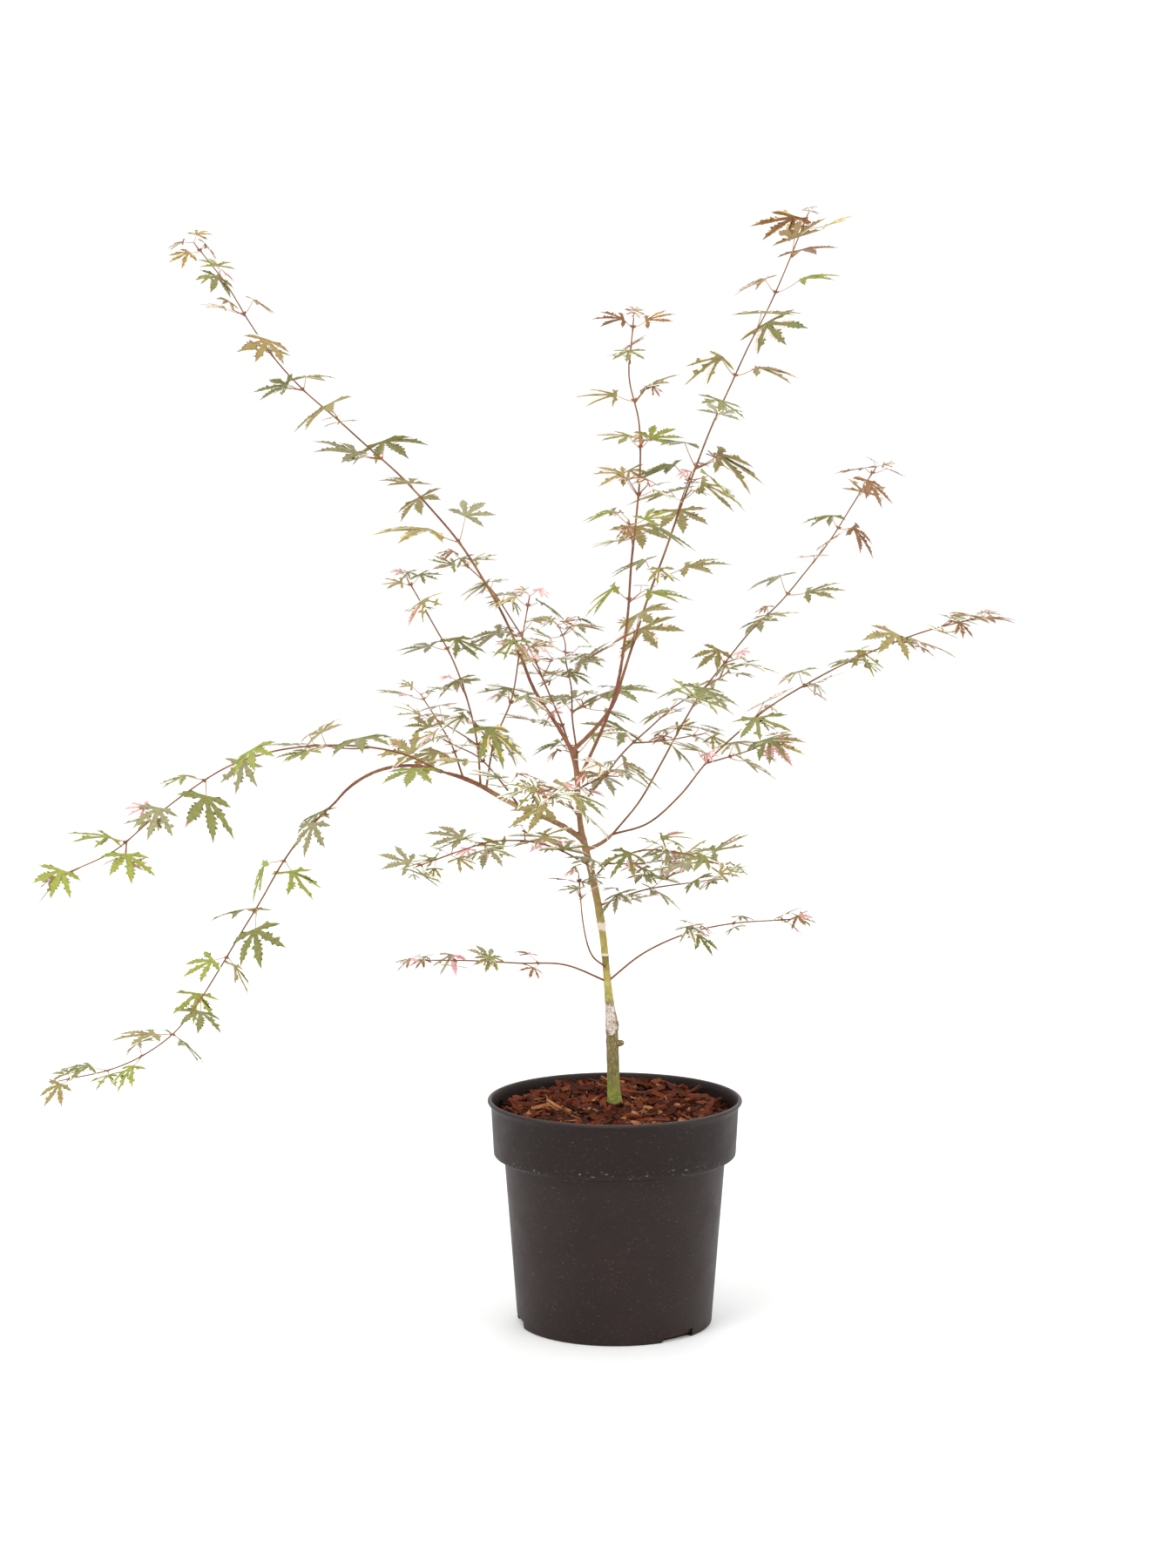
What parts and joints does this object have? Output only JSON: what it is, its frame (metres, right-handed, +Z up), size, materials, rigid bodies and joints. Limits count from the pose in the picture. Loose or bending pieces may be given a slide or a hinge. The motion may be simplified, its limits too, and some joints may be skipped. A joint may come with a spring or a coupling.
{
  "type": "potted japanese maple",
  "caption": "Young grafted Japanese maple with small deep-cut cream-edged leaves on long arching shoots, standing in a round black nursery pot topped with bark mulch.",
  "frame": {"origin": "centre of the pot's flat underside", "axes": "+Z up the plant, +X to the viewer's right when the plant is seen from its front, +Y to the back"},
  "size_m": [0.7202, 0.4118, 0.8283],
  "materials": {
    "pot": "charcoal black moulded plastic, satin, lightly scuffed along the collar",
    "compost": "dark brown potting compost, matt and crumbly",
    "mulch": "red-brown chipped bark, matt and fibrous",
    "bark": "smooth green stem bark with fine yellow dots, brown near the top",
    "twig_bark": "smooth red-brown young bark",
    "leaf": "thin matt leaves, grey-green with cream and pink edges, gold at the shoot tips"
  },
  "bodies": {
    "root": {"pot": "pot", "compost": "compost", "bark_mulch": "mulch", "trunk": "bark", "bough_left": "twig_bark", "bough_right": "twig_bark", "bough_right_leader": "twig_bark", "bough_left_leader": "twig_bark", "bough_middle_leader": "twig_bark", "bough_left_weeping": "twig_bark", "foliage_right_leader": "leaf", "foliage_middle_leader": "leaf", "foliage_left_leader": "leaf", "foliage_left_arch": "leaf", "foliage_left_weeping": "leaf", "foliage_right_upper": "leaf", "foliage_right_lower": "leaf", "foliage_low_left": "leaf", "foliage_low_right": "leaf", "foliage_inner_right": "leaf", "foliage_upright_outer": "leaf", "foliage_upright_inner": "leaf", "foliage_inner_left_front": "leaf", "foliage_inner_left_back": "leaf", "foliage_front": "leaf", "foliage_back": "leaf", "foliage_front_left": "leaf", "foliage_back_left": "leaf", "foliage_front_right": "leaf", "foliage_back_right": "leaf", "foliage_beside_stem": "leaf"}
  },
  "joints": []
}
